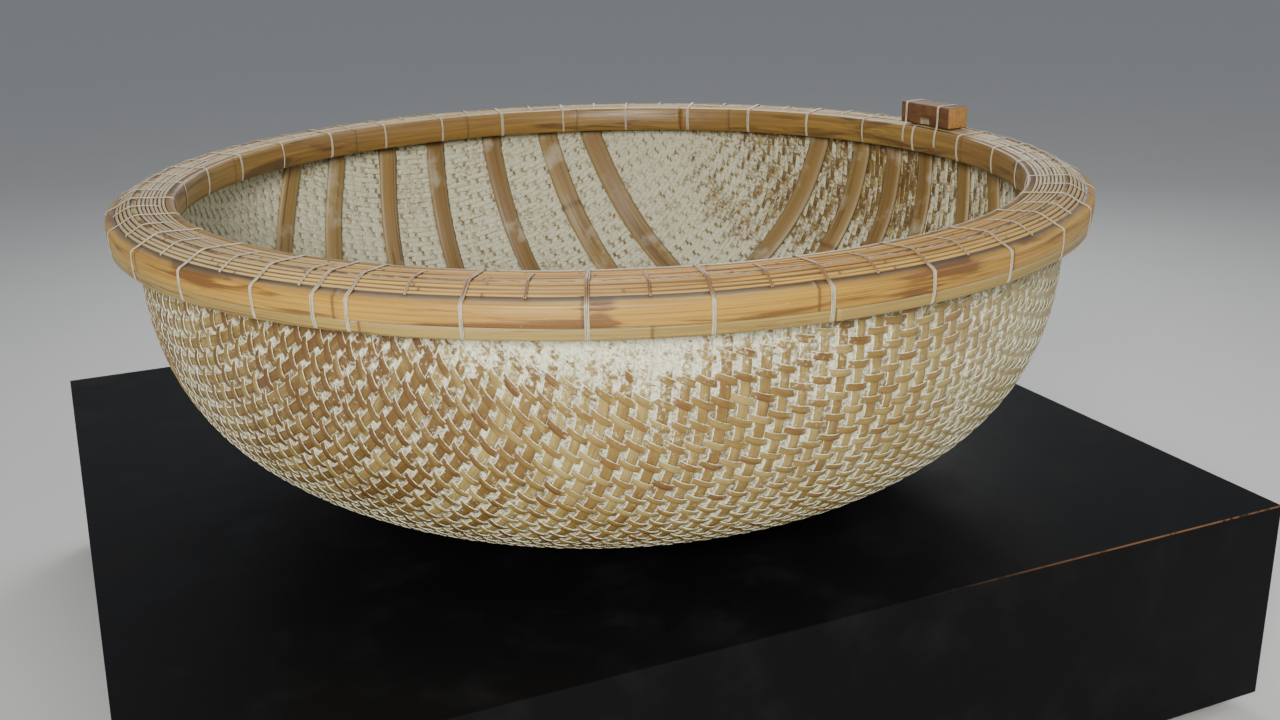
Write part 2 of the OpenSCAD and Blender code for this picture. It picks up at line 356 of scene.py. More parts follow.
def weave(material):
    """The mat of the hull: broad U strips along the boat's Y, and narrow W strips across them."""
    half_u = int(NET_STEP * len(NET) / U_PITCH)
    half_w = int(NET_STEP * len(NET) / W_PITCH)
    cell_tone = rng.random((2 * half_u + 4, 2 * half_w + 4))
    broad = Parts()
    for i in range(-half_u, half_u):
        length = reach(abs(i + 0.5) * U_PITCH, False)
        if length < U_PITCH:
            continue
        last = int(length / W_PITCH)
        j = np.arange(-last, last)
        height = np.where(w_is_outside(i, j), -U_SWAY, U_SWAY / 2)
        tone = 0.15 + 0.45 * rng.random() + 0.15 * cell_tone[i + half_u, j + half_w]
        width = U_WIDTH * rng.uniform(0.9, 1.1)
        add_strip(broad, i, (i + 0.5) * U_PITCH, (j + 0.5) * W_PITCH, height, width, U_THICK, False, tone)
    broad.piece("mat_broad_strips", material, "woven_bamboo", ["hull"])

    thirds = [Parts(), Parts(), Parts()]
    rows = [j for j in range(-half_w, half_w) if reach(abs(j + 0.5) * W_PITCH, True) > U_PITCH]
    for order, j in enumerate(rows):
        last = int(reach(abs(j + 0.5) * W_PITCH, True) / U_PITCH * 4)
        run = np.arange(-last, last + 1) * U_PITCH / 4
        i = np.floor(run / U_PITCH).astype(int)
        off = run / U_PITCH - i - 0.5
        own = np.where(w_is_outside(i, j), 1, -1)
        other = np.where(w_is_outside(i + np.where(off > 0, 1, -1), j), 1, -1)
        # Rings are needed only in the middle of a broad strip and where this one changes sides.
        bends = (own != other) | (off == 0)
        run, i, off, own, other = (values[bends] for values in (run, i, off, own, other))
        blend = smooth((np.abs(off) * U_PITCH / MM - 4.5) / 23)
        height = W_SWAY * (own * (1 - blend) + other * blend)
        tone = 0.15 + 0.4 * rng.random() + 0.5 * cell_tone[i + half_u, j + half_w]
        width = W_WIDTH * rng.uniform(0.95, 1.04)
        third = thirds[order * 3 // len(rows)]
        add_strip(third, j, (j + 0.5) * W_PITCH, run, height, width, W_THICK, True, tone)
    for name, third in zip(("front", "middle", "back"), thirds):
        third.piece("mat_narrow_strips_" + name, material, "woven_bamboo", ["hull"])


# ---- the rim

RING_R = RIM_R - 30 * MM
LATH_OUT_R = HULL_R + OUTER_LATHS * LATH_T
HULL_IN_R = HULL_R - HULL_T
INNER_OUT_R = HULL_IN_R - INNER_LATHS * LATH_T
BULGE = 4 * MM
SEAM_H = SEAM - RIM_Z
SHOULDER_H = HOOP_TOP - RIM_Z
CREST_H = CREST - RIM_Z
INNER_TOP_H = INNER_HI.z - AXIS[2] - RIM_Z
INNER_FOOT_H = INNER_FOOT - RIM_Z
HOOP_EDGE_H = 53 * MM


def outer_face(h):
    """Radius of the outer hoop's face at a height above the rim's lower edge."""
    return RIM_R - BULGE * ((2 * h - INNER_TOP_H) / INNER_TOP_H) ** 2


def inner_face(h):
    """Radius of the inner hoop's face at a height above the rim's lower edge."""
    return INNER_R + BULGE * ((2 * h - INNER_FOOT_H - INNER_TOP_H) / (INNER_TOP_H - INNER_FOOT_H)) ** 2


def ripple(turn, seed, low, high):
    """A smooth closed line round the rim, about -1 to 1, with low to high waves in a full turn."""
    draw = np.random.default_rng(seed)
    counts = draw.integers(low, high + 1, 6)
    return sum(np.sin(count * turn + draw.uniform(0, 6.28)) for count in counts) / 3.5


def knots_round(seed, spacing):
    """Directions of the culm's knots along one bent lath."""
    draw = np.random.default_rng(seed)
    steps = draw.uniform(0.75, 1.25, 60) * spacing / RING_R
    places = draw.uniform(0, 6.28) + np.cumsum(steps)
    return places[places < places[0] + 2 * np.pi - 0.5 * spacing / RING_R]


RING_ENDS = 0.0012  # half the gap between the two ends, in radians
KNOT_RINGS = np.array([-8, -4, -1.5, 0, 1.5, 4, 8]) * MM  # along the bamboo, from a knot's middle
HOOP_BEND = {"segments": 600, "radial": 0.5}
LATH_BEND = {"segments": 420, "radial": 0.25, "upright": 0.7, "knot": 0.3, "spacing": 0.36}


def add_ring(parts, section, number, tone, segments, radial, upright, knot, spacing, worn_and_gap_shaded=0.0, stained=None):
    """One hoop or lath bent round the rim: its section with knots and slight waves, its two ends butted.

    Its waves, radial and upright, and a knot's swelling are in mm, the spacing of the knots in metres.
    """
    draw = np.random.default_rng(900 + number)
    start = draw.uniform(0, 6.28)
    knots = (knots_round(number, spacing) - start) % (2 * np.pi)
    turn = np.linspace(RING_ENDS, 2 * np.pi - RING_ENDS, segments)
    extra = (knots[:, None] + KNOT_RINGS / RING_R).ravel()
    turn = np.sort(np.append(turn, extra[(extra > turn[0]) & (extra < turn[-1])]))
    gap = (turn[:, None] - knots) * RING_R
    swell = np.exp(-(gap / (3.5 * MM)) ** 2).sum(1)
    shade = np.exp(-(gap / (2 * MM)) ** 2).sum(1) + 0.35 * np.exp(-((gap - 6 * MM) / (9 * MM)) ** 2).sum(1)
    turn = turn + start
    section = np.asarray(section)
    middle, size = section.mean(0), np.ptp(section, axis=0)
    grown = middle + (section - middle) * (1 + 2 * knot * MM * swell[:, None, None] / size)
    r = grown[..., 0] + radial * MM * ripple(turn, number, 5, 30)[:, None]
    z = grown[..., 1] + upright * MM * ripple(turn, number + 300, 4, 26)[:, None] + RIM_Z
    tones = tone + 0.12 * ripple(turn, number + 700, 2, 9)
    turn = turn[:, None]
    stain = stained(np.degrees(turn) % 360, z - RIM_Z) if stained else 0.0
    # Its marks: the knots' dark rings, scuffs (over 0) with painted gap shade (under 0), and stains.
    parts.add(triple(r * np.cos(turn), r * np.sin(turn), z), marks=triple(shade[:, None], worn_and_gap_shaded, stain),
              tone=tones[:, None],
              weave_at=triple(turn * RING_R, np.linspace(-1, 1, len(section)), number * 0.71))


def hoop_section(face, back_r, low, high, back_low, back_high, count):
    """Outline of a hoop: its bulged face with rounded edges, and its flat back."""
    out = np.sign(face(low) - back_r)
    edge = 1.4 * MM
    h = np.linspace(low + edge, high - edge, count)
    rows = [(back_r, back_low), (face(low) - out * edge, low), *zip(face(h), h),
            (face(high) - out * edge, high), (back_r, back_high)]
    return rows[::int(out)]


def front_stains(angle, h):
    """The outer hoop's brown stains: low on the front's left, and across it on the front's right."""
    low = smooth((34 * MM - h) / (12 * MM))
    high = smooth((h - 30 * MM) / (12 * MM))
    return (near(angle, 231, 15) * low + near(angle, 239.5, 2.5) + near(angle, 269, 4) * (0.4 + 0.5 * low)
            + near(angle, 274, 5) * high + near(angle, 212, 8) * low + near(angle, 199, 6) * high)


def dusty(angle, h):
    """Dust lies on the laths all round but for the handled front. A stain under 0 is dust."""
    return near(angle, 256, 74) - 1 + 0 * h


def outer_hoop(skin, lath_skin):
    """The hoop outside the laths: a narrow lower lath, and a broad band over it."""
    lower, band = Parts(), Parts()
    back_r = LATH_OUT_R + 0.4 * MM
    # In the lists of marks below, over 0 is a scuff and under 0 is painted shade at the hoop's back, where it
    # meets the laths.
    lath = hoop_section(outer_face, back_r, 0.2 * MM, SEAM_H - 0.2 * MM, 0.4 * MM, SEAM_H - 0.4 * MM, 6)
    add_ring(lower, lath, 1, 0.35, upright=0.35, knot=0.5, spacing=0.45,
             worn_and_gap_shaded=[-0.6, 0, 0, 0, 0, 0, 0.1, 0.35, 0.6, -0.6], **HOOP_BEND)
    broad = hoop_section(outer_face, back_r, SEAM_H + 0.5 * MM, HOOP_EDGE_H, SEAM_H + 0.6 * MM,
                         SHOULDER_H - 0.5 * MM, 8)
    add_ring(band, broad, 2, 0.5, upright=0.3, knot=0.7, spacing=0.42,
             worn_and_gap_shaded=[-0.8, 0.9, 0.4] + [0] * 8 + [-0.8], stained=front_stains, **HOOP_BEND)
    lower.piece("outer_hoop_lower_lath", lath_skin, "hoop_bamboo", ["outer_hoop_lath"])
    band.piece("outer_hoop_broad_band", skin, "hoop_bamboo", ["outer_hoop_band"])


def inner_hoop(skin):
    hoop = Parts()
    shape = hoop_section(inner_face, INNER_OUT_R - 0.6 * MM, INNER_FOOT_H + 0.3 * MM, INNER_TOP_H - 0.4 * MM,
                         INNER_FOOT_H + 0.8 * MM, INNER_TOP_H - 0.6 * MM, 10)
    add_ring(hoop, shape, 3, 0.62, upright=0.35, knot=0.6, spacing=0.4, **HOOP_BEND)
    hoop.piece("inner_hoop_band", skin, "hoop_bamboo", ["inner_hoop"])


def lath_section(inner_r, foot, inner_top, outer_top):
    """Outline of a thin lath on edge, with its top edge rounded."""
    r0, r1 = inner_r + 0.25 * MM, inner_r + LATH_T - 0.25 * MM
    middle = (r0 + r1) / 2
    return [(r0, foot), (middle, foot), (r1, foot), (r1, outer_top - 3 * MM),
            (r1 - 1.2 * MM, outer_top - 0.7 * MM), (middle, (inner_top + outer_top) / 2 + 0.2 * MM),
            (r0 + 1.2 * MM, inner_top - 0.7 * MM), (r0, inner_top - 3 * MM)]


def laths(material):
    """The thin laths on edge: the outer ones step up to the hull's edge, the inner ones fall from it."""
    draw = np.random.default_rng(51)
    # The laths' sides and feet are painted shade (-1) for the gaps between them, their chamfers a little; the
    # crown gets a scuff.
    look = {"worn_and_gap_shaded": [-1, -1, -1, -1, -0.3, 0.3, -0.3, -1], "stained": dusty, **LATH_BEND}
    outer, inner = Parts(), Parts()
    for k in range(OUTER_LATHS):
        r = HULL_R + k * LATH_T
        top = CREST_H - (CREST_H - SHOULDER_H) * (k + 0.4) / OUTER_LATHS
        section = lath_section(r, 8 * MM, top + 0.3 * MM, top - 1.9 * MM)
        add_ring(outer, section, 10 + k, 0.35 + 0.3 * draw.random(), **look)
    for k in range(INNER_LATHS):
        r = INNER_OUT_R + k * LATH_T
        top = INNER_TOP_H + (CREST_H - INNER_TOP_H) * k / INNER_LATHS + draw.uniform(-2, 0.3) * MM
        section = lath_section(r, INNER_FOOT_H + 6 * MM, top, top + 0.4 * MM)
        add_ring(inner, section, 20 + k, 0.25 + 0.5 * draw.random(), **look)
    outer.piece("laths_outside_the_edge", material, "lath_bamboo", ["outer_laths"])
    inner.piece("laths_inside_the_edge", material, "lath_bamboo", ["inner_laths"])


EDGE_TURNS = 1500
EDGE_SECTION = np.array([(0.2, -20), (11.8, -20), (11.8, -4), (10.4, -1.4), (7.6, -0.6), (4.2, -0.6),
                         (1.6, -1.4), (0.2, -4)]) * MM
EDGE_STRIP = 9 * MM


def mat_edge(material):
    """The mat's trimmed edge: a crumbling ridge of strip ends and lime between the two groups of laths."""
    turn = np.linspace(0, 2 * np.pi, EDGE_TURNS, endpoint=False)
    draw = np.random.default_rng(77)
    rough = draw.normal(0, 0.55 * MM, (EDGE_TURNS, len(EDGE_SECTION)))
    rough = (rough + np.roll(rough, 1, 0)) / 1.5
    rough[:, :2] = 0
    torn = np.abs(ripple(turn, 61, 40, 160)) * 1.8 * MM
    turn = turn[:, None]
    lost = np.where(EDGE_SECTION[:, 1] > -18 * MM, torn[:, None], 0)
    h = CREST_H - 1.2 * MM + EDGE_SECTION[:, 1] - np.abs(rough) - lost
    r = HULL_IN_R + EDGE_SECTION[:, 0] + 0.3 * rough
    strip = turn * RING_R / EDGE_STRIP
    edge = Parts()
    edge.add(triple(r * np.cos(turn), r * np.sin(turn), h + RIM_Z), closed=True,
             marks=triple(0.1 + 0.25 * rough / MM, 0.35, 0),
             tone=draw.random(EDGE_TURNS // 10).repeat(10)[:, None],
             weave_at=triple(h + RIM_Z, (strip % 1 - 0.5) * 0.6, np.floor(strip)))
    edge.piece("mat_trimmed_edge", material, "woven_bamboo", ["hull"])


# ---- the lashings

LASHINGS = 33
EXTRA_LASHING_DIR = 214
STRAND_W, STRAND_T = 2.3 * MM, 1.3 * MM


def lashing_dir(k):
    """Direction of a long lashing in degrees: they stand a little closer together on one side."""
    even = k * 360 / LASHINGS
    return even + 2.3 * math.sin(math.radians(even - 20))


def rounded(points, spacing):
    """A line of points with its corners cut, as points about a spacing apart."""
    p = np.asarray(points, float)
    for _ in range(3):
        near_start = p[:-1] * 0.75 + p[1:] * 0.25
        near_end = p[:-1] * 0.25 + p[1:] * 0.75
        p = np.concatenate([p[:1], np.stack([near_start, near_end], 1).reshape(-1, 2), p[-1:]])
    length = np.append(0, np.cumsum(np.linalg.norm(np.diff(p, axis=0), axis=1)))
    at = np.linspace(0, length[-1], max(int(length[-1] / spacing), 4))
    return np.stack([np.interp(at, length, p[:, 0]), np.interp(at, length, p[:, 1])], -1)


def long_path(off):
    """Line of a long lashing round the whole rim, off its surface."""
    h_in = np.linspace(INNER_FOOT_H + 2 * MM, INNER_TOP_H - 3 * MM, 5)
    h_out = np.linspace(HOOP_EDGE_H - 2 * MM, 2 * MM, 6)
    return [(HULL_IN_R - 9 * MM, INNER_FOOT_H - off), (inner_face(INNER_FOOT_H) + 2 * MM, INNER_FOOT_H - off),
            *zip(inner_face(h_in) - off, h_in), (INNER_R + 5 * MM, INNER_TOP_H + off),
            (INNER_OUT_R + 4 * MM, INNER_TOP_H + off + 0.4 * MM), (HULL_IN_R, CREST_H + off - 0.4 * MM),
            (HULL_R + 2 * MM, CREST_H + off - 0.4 * MM), (LATH_OUT_R - 2 * MM, SHOULDER_H + off + 1.4 * MM),
            (LATH_OUT_R + 4 * MM, SHOULDER_H - 1.6 * MM + off),
            (outer_face(HOOP_EDGE_H) + 0.3 * off, HOOP_EDGE_H + off),
            *zip(outer_face(h_out) + off, h_out), (outer_face(0) - 2 * MM, -off), (HULL_R + 2 * MM, -off)]


def short_path(off):
    """Line of a short lashing, which holds only the laths and the hoop's shoulder."""
    start = HULL_IN_R - (INNER_LATHS - 1.5) * LATH_T
    level = INNER_TOP_H + (CREST_H - INNER_TOP_H) * 1.5 / INNER_LATHS
    return [(start - 0.5 * MM, level - 5 * MM), (start, level + off), (HULL_IN_R, CREST_H + off - 0.4 * MM),
            (HULL_R + 2 * MM, CREST_H + off - 0.4 * MM), (LATH_OUT_R - 2 * MM, SHOULDER_H + off + 1.2 * MM),
            (LATH_OUT_R + 2 * MM, SHOULDER_H + off), (LATH_OUT_R + 3.4 * MM, SHOULDER_H - 4 * MM)]


def add_strand(parts, line, turn, side, number, lean=0.0, soil=0.0):
    """One flat strand along a line of the rim's section, at a direction and moved to one side."""
    draw = np.random.default_rng(number)
    step = np.gradient(line, axis=0)
    step /= np.linalg.norm(step, axis=1)[:, None]
    normal = np.stack([-step[:, 1], step[:, 0]], -1)
    share = np.linspace(0, 1, len(line))
    side = side + lean * (share - 0.5) + 0.35 * MM * np.sin(share * draw.uniform(6, 14) + draw.uniform(0, 6))
    corner = np.linspace(0, 2 * np.pi, 6, endpoint=False)
    thick = STRAND_T / 2 * np.sin(corner)
    r = line[:, None, 0] + normal[:, None, 0] * thick
    z = line[:, None, 1] + normal[:, None, 1] * thick + RIM_Z
    t = side[:, None] + STRAND_W / 2 * np.cos(corner)
    c, s = math.cos(turn), math.sin(turn)
    soiled = soil * smooth((line[:, 1] - 45 * MM) / (20 * MM))
    parts.add(triple(r * c - t * s, r * s + t * c, z), marks=triple(soiled[:, None], 0, 0),
              weave_at=triple(share[:, None] * 0.3, np.cos(corner), number), tone=draw.random())


def soil_at(angle):
    """How soiled a lashing is at a direction: hands have browned those of the front."""
    return 0.9 * float(near(np.array(angle), 250, 75))


def lashings(material):
    """The long lashings with their one odd extra, and a short one between each two of them."""
    draw = np.random.default_rng(31)
    long_ones, short_ones = Parts(), Parts()
    line = rounded(long_path(1.05 * MM), 6 * MM)
    for count, angle in enumerate([lashing_dir(k) for k in range(LASHINGS)] + [EXTRA_LASHING_DIR]):
        lean, strands = draw.normal(0, 2.2 * MM), draw.choice([2, 3, 3])
        for s in range(strands):
            side = (s - (strands - 1) / 2) * STRAND_W * 0.98
            add_strand(long_ones, line, math.radians(angle), side, 2000 + count * 4 + s, lean, soil_at(angle))
    line = rounded(short_path(1.05 * MM), 5 * MM)
    for k in range(LASHINGS):
        angle, lean = lashing_dir(k + 0.5) + draw.normal(0, 0.15), draw.normal(0, 2 * MM)
        for s in range(2):
            side = (s - 0.5) * STRAND_W
            add_strand(short_ones, line, math.radians(angle), side, 3000 + k * 4 + s, lean, soil_at(angle))
    long_ones.piece("lashings_round_the_rim", material, "lashing_line", ["long_lashings"])
    short_ones.piece("lashings_over_the_laths", material, "lashing_line", ["short_lashings"])


# ---- the ribs

RIBS = 7
RIB_W = 46 * MM
RIB_T = 7 * MM
RIB_FAN_H = 1.24
RIB_PITCH = (6.0, 5.2)
RIB_DRIFT = ((-0.5, -2, -1.5, -0.5, -0.5, 0, -0.5), (-0.4, -0.5, -0.5, 0.4, -0.2, -0.9, -0.8))
RIB_TOP = INNER_FOOT + 3 * MM
RIB_INSET = 11.2 * MM


def rib_lift(z, layer):
    """How far a rib stands off the wall: the upper layer rides over the lower one near the bottom."""
    return layer * (RIB_T + 0.3 * MM) * smooth((0.8 * RIM_Z - z) / (0.38 * RIM_Z))


def on_fan(offset, run, inset, layer, lean):
    """Points where a leaning plane, moved by offset, meets the surface that is inset inside the hull."""
    start = np.array([0, 0, RIM_Z + RIB_FAN_H])
    down = np.array([-math.sin(lean), 0, -math.cos(lean)])
    aside = np.array([math.cos(lean), 0, -math.sin(lean)])
    base = start + offset[..., None] * aside + run[..., None] * np.array([0, 1, 0])
    low, high = np.full(run.shape, 0.9), np.full(run.shape, 2.3)
    for _ in range(34):
        depth = (low + high) / 2
        p = base + depth[..., None] * down
        flat = p.reshape(-1, 3)
        total = (inset + rib_lift(p[..., 2], layer)).ravel()
        r = np.hypot(flat[:, 0], flat[:, 1])
        q = np.maximum((RIM_Z - flat[:, 2]) / (RIM_Z + BOTTOM_PRESS - total), 0)
        inside = ((r / (HULL_R - total)) ** SIDE_FULLNESS + q ** BOTTOM_FULLNESS < 1).reshape(run.shape)
        low, high = np.where(inside, depth, low), np.where(inside, high, depth)
    return base + low[..., None] * down


# A rib's outline, in shares of its width and its thickness.
RIB_SECTION = np.array([(-0.5, 0), (-0.5, 0.55), (-0.36, 0.9), (0, 1), (0.36, 0.9), (0.5, 0.55), (0.5, 0),
                        (0, 0)])


def with_ends(rows):
    """Rows with the first and the last of them doubled."""
    return np.concatenate([rows[:1], rows, rows[-1:]])


def ribs(material):
    """Two layers of seven slats across the bowl, each with a crowned face and knots."""
    parts = Parts()
    share_x, share_t = RIB_SECTION.T
    steps = np.linspace(-1, 1, 150)
    run_share = np.sign(steps) * (1 - (1 - np.abs(steps)) ** 1.6)
    ease = smooth((1 - np.abs(steps)) * 8)
    tries = np.linspace(-1, 1, 1200)[:, None] * HULL_IN_R + np.zeros(len(RIB_SECTION))
    for layer in (0, 1):
        for k in range(RIBS):
            number = layer * RIBS + k
            lean = math.radians((k - 3) * RIB_PITCH[layer] + RIB_DRIFT[layer][k])
            draw = np.random.default_rng(400 + number)
            inset = RIB_INSET + share_t * RIB_T + 0 * tries
            aside = share_x * RIB_W + 0 * tries
            held = on_fan(aside, tries, inset, layer, lean)[..., 2] < RIM_Z - 1.5 * MM
            first, last = tries[np.argmax(held, 0), 0], tries[-1 - np.argmax(held[::-1], 0), 0]
            runs = (first + last) / 2 + run_share[:, None] * (last - first) / 2
            run = runs[:, -1]
            knots = draw.uniform(-0.2, 0.2) + np.arange(-3, 4) * 0.36
            swell = np.exp(-((run[:, None] - knots) / (6 * MM)) ** 2).sum(1)
            shade = np.exp(-((run[:, None] - knots) / (4 * MM)) ** 2).sum(1)
            wide = RIB_W * (1 + 0.05 * waves(run, number, 1.1))
            wide = RIB_W + (wide - RIB_W) * ease
            sway = 1.2 * MM * waves(run, number + 50, 0.9) * ease
            offset = share_x * wide[:, None] + sway[:, None]
            thick = share_t * (RIB_T + 1.2 * MM * swell[:, None]) + 0 * offset
            p = with_ends(on_fan(offset, runs, RIB_INSET + thick, layer, lean))
            p[[0, -1], :, 2] = RIB_TOP
            if layer:
                p = np.stack([p[..., 1], -p[..., 0], p[..., 2]], -1)
            parts.add(p, marks=triple(with_ends(shade)[:, None], np.abs(share_x) * 2, 0),
                      weave_at=triple(with_ends(run)[:, None], share_x * 2, number * 1.7),
                      tone=draw.uniform(0.3, 0.8))
    names = ["rib_%s%d" % (row, k) for row in "ab" for k in range(1, RIBS + 1)]
    parts.piece("ribs_in_two_layers", material, "rib_bamboo", names)


# ---- the lime coat

def lumps(rows, columns, seed, passes):
    """A soft random field over a closed round grid, about -1 to 1."""
    field = np.random.default_rng(seed).normal(size=(rows, columns))
    for _ in range(passes):
        field = sum((np.roll(field, way, axis) for axis in (0, 1) for way in (1, -1)), field) / 5
    return np.clip(field / (2 * field.std()), -1, 1)


def lime_coat(material):
    """The coat in the mat's thickness, which fills its gaps and hides it in one thick patch."""
    rows, columns = 72, 320
    length, r, z = meridian(WEAVE_IN)
    s = np.linspace(0.004, np.interp(RIM_Z + 22 * MM, z, length), rows)
    turn = np.linspace(0, 2 * np.pi, columns, endpoint=False)
    line_r = np.interp(s, length, r)[:, None]
    middle = triple(line_r * np.cos(turn), line_r * np.sin(turn), np.interp(s, length, z)[:, None])
    normal = outward(middle)
    thick = near(direction(middle), 238, 27) * smooth(1.15 - (RIM_Z - middle[..., 2]) / 0.12)
    soft, coarse = lumps(rows, columns, 5, 2), lumps(rows, columns, 6, 8)
    outer = (-0.35 + 0.45 * soft + 2.1 * thick * (0.7 + 0.3 * coarse)) * MM
    inner = (-1.15 + 0.2 * soft) * MM
    lift = np.concatenate([outer, inner[::-1]])
    p = np.concatenate([middle, middle[::-1]]) + np.concatenate([normal, normal[::-1]]) * lift[..., None]
    p[..., 2] = np.maximum(p[..., 2], LEAST_Z)
    is_outer = np.broadcast_to(np.arange(2 * rows)[:, None] < rows, lift.shape)
    marks = triple(*wall_marks(p, is_outer, 0.5), 1.0 - is_outer)
    coat = Parts()
    coat.add(np.swapaxes(p, 0, 1), closed=True, marks=np.swapaxes(marks, 0, 1))
    coat.piece("lime_coat", material, "woven_bamboo", ["hull"])


# ---- the oar block

BLOCK_L, BLOCK_W, BLOCK_H = 165 * MM, 55 * MM, 47 * MM
BLOCK_TURN = math.radians(-2.9)
BLOCK_IN_R = HULL_IN_R - 4.3 * MM - BLOCK_W
BLOCK_FOOT = BLOCK_LO.z - AXIS[2] - RIM_Z
BLOCK_LASHED_AT = (-0.28 * BLOCK_L, 0.38 * BLOCK_L)


def oar_block(material):
    """A sawn block with rubbed edges, a notch low in its inner face and its lashings pressed in."""
    edge = 2.4 * MM
    w, h = BLOCK_W / 2, BLOCK_H / 2
    section = []
    for cx, cz, first, after in ((w, -h, -90, (w, 0)), (w, h, 0, (0, h)), (-w, h, 90, (-w, 0)),
                                 (-w, -h, 180, (0, -h))):
        middle = np.array([cx - math.copysign(edge, cx), cz - math.copysign(edge, cz)])
        for turn in np.radians(first + np.array([0, 30, 60, 90])):
            section.append(middle + edge * np.array([math.cos(turn), math.sin(turn)]))
        section.append(np.array(after))
    section = np.array(section)
    ends = np.array([-1, 1])
    along = np.unique(np.concatenate([np.linspace(-1, 1, 45) * (BLOCK_L / 2 - edge),
                                      ends * (BLOCK_L / 2 - edge * 0.3), ends * BLOCK_L / 2]))
    draw = np.random.default_rng(88)
    size = np.ones(len(along))
    size[[0, -1]] = 1 - 2 * edge / BLOCK_H * 0.75
    size[[1, -2]] = 1 - 2 * edge / BLOCK_H * 0.25
    for spot in BLOCK_LASHED_AT:
        size -= 0.03 * np.exp(-((along - spot) / (4 * MM)) ** 2)
    p = section * size[:, None, None] + draw.normal(0, 0.12 * MM, (len(along), len(section), 2))
    notch = smooth((17 * MM - np.abs(along)) / (3 * MM))[:, None]
    low_inner = (section[:, 0] < -w + 3 * MM) & (section[:, 1] < -h + 8 * MM)
    p[..., 0] += notch * low_inner * 7 * MM
    x = BLOCK_IN_R + w + p[..., 0]
    y = along[:, None]
    z = RIM_Z + BLOCK_FOOT + h + p[..., 1]
    c, s = math.cos(BLOCK_TURN), math.sin(BLOCK_TURN)
    cut = np.zeros(len(along))
    cut[[0, 1, -2, -1]] = (1, 0.6, 0.6, 1)
    block = Parts()
    block.add(triple(x * c - y * s, x * s + y * c, z), marks=triple(cut[:, None], notch * low_inner, 0),
              weave_at=triple(y, p[..., 0], p[..., 1]))
    block.piece("oar_block_wood", material, "block_wood", ["oar_block"])


def block_lashings(material):
    """Three strands over the block at each of two places, tied round the rim under it."""
    parts = Parts()
    off = 1.2 * MM
    foot, top = BLOCK_FOOT + 4 * MM, BLOCK_FOOT + BLOCK_H
    block_out_r = BLOCK_IN_R + BLOCK_W
    over = [(BLOCK_IN_R - off, foot), (BLOCK_IN_R - off, top - 2 * MM), (BLOCK_IN_R + 2 * MM, top + off),
            (block_out_r - 2 * MM, top + off), (block_out_r + off, top - 2 * MM), (block_out_r + off, foot)]
    rim = np.array(long_path(1.4 * MM))
    for count, spot in enumerate(BLOCK_LASHED_AT):
        bow = spot ** 2 / (2 * HULL_R)
        inner = rim[rim[:, 0] < BLOCK_IN_R - 1 * MM] - (bow, 0)
        outer = rim[rim[:, 0] > block_out_r + 3 * MM] - (bow, 0)
        outer = outer[np.argmax(outer[:, 1]):]
        inner = inner[inner[:, 1] < INNER_TOP_H + 3 * MM]
        inner[0, 0] = HULL_IN_R - 9 * MM - bow
        line = rounded(np.concatenate([inner, over, outer]), 5 * MM)
        for s in range(3):
            add_strand(parts, line, BLOCK_TURN, spot + (s - 1) * 2 * MM, 4000 + count * 4 + s, 1 * MM)
    parts.piece("lashings_of_the_oar_block", material, "lashing_line", ["block_lashings"])


# ---- materials

class Shader:
    """One material, with short calls for its nodes. Settings that are the same all over go on its surface."""

    def __init__(self, name, roughness=0.5, **fixed):
        self.material = bpy.data.materials.new(name)
        self.material.use_nodes = True
        self.tree = self.material.node_tree
        self.surface = self.tree.nodes["Principled BSDF"]
        self.set("Roughness", roughness)
        for socket, value in fixed.items():
            self.set(socket.replace("_", " "), value)

    def set(self, socket, value):
        self.link(value, self.surface.inputs[socket])

    def link(self, value, socket):
        if isinstance(value, bpy.types.NodeSocket):
            self.tree.links.new(value, socket)
        else:
            socket.default_value = (*value, 1) if socket.type == "RGBA" and len(value) == 3 else value

    def node(self, kind, out=0, inputs=(), **settings):
        made = self.tree.nodes.new("ShaderNode" + kind)
        for key, value in settings.items():
            setattr(made, key, value)
        for key, value in dict(inputs).items():
            self.link(value, made.inputs[key])
        return made.outputs[out]

    def math(self, operation, a, b):
        return self.node("Math", inputs={0: a, 1: b}, operation=operation)

    def add(self, a, b):
        return self.math("ADD", a, b)

    def times(self, a, b):
        return self.math("MULTIPLY", a, b)

    def swing(self, noise, size):
        """A noise, which lies about a half, moved to lie about 0 and made so many times as strong."""
        return self.times(self.math("SUBTRACT", noise, 0.5), size)

    def span(self, value, low, high, to_low=0.0, to_high=1.0):
        """The value carried smoothly from one range to another."""
        return self.node("MapRange", inputs={0: value, 1: low, 2: high, 3: to_low, 4: to_high},
                         interpolation_type="SMOOTHSTEP")

    def mix(self, factor, a, b):
        return self.node("Mix", out=2, inputs={0: factor, 6: a, 7: b}, data_type="RGBA")

    def point(self):
        return self.node("TexCoord", out=3)

    def read(self, name, out=2):
        """A point attribute: out 2 is a number, 1 a vector and 0 a colour."""
        return self.node("Attribute", out=out, attribute_name=name)

    def split(self, vector):
        return self.node("SeparateXYZ", inputs={0: vector}).node.outputs

    def stretch(self, vector, scale):
        return self.node("VectorMath", inputs={0: vector, 1: scale}, operation="MULTIPLY")

    def noise(self, vector, scale, detail=3.0, roughness=0.55, distortion=0.0):
        return self.node("TexNoise", inputs={"Vector": vector, "Scale": scale, "Detail": detail,
                                             "Roughness": roughness, "Distortion": distortion})

    def bump(self, *layers):
        """Bump from heights, each with its distance in metres."""
        below = {}
        for height, distance in layers:
            inputs = {"Height": height, "Distance": distance, "Strength": 1.0, **below}
            below = {"Normal": self.node("Bump", inputs=inputs)}
        self.set("Normal", below["Normal"])


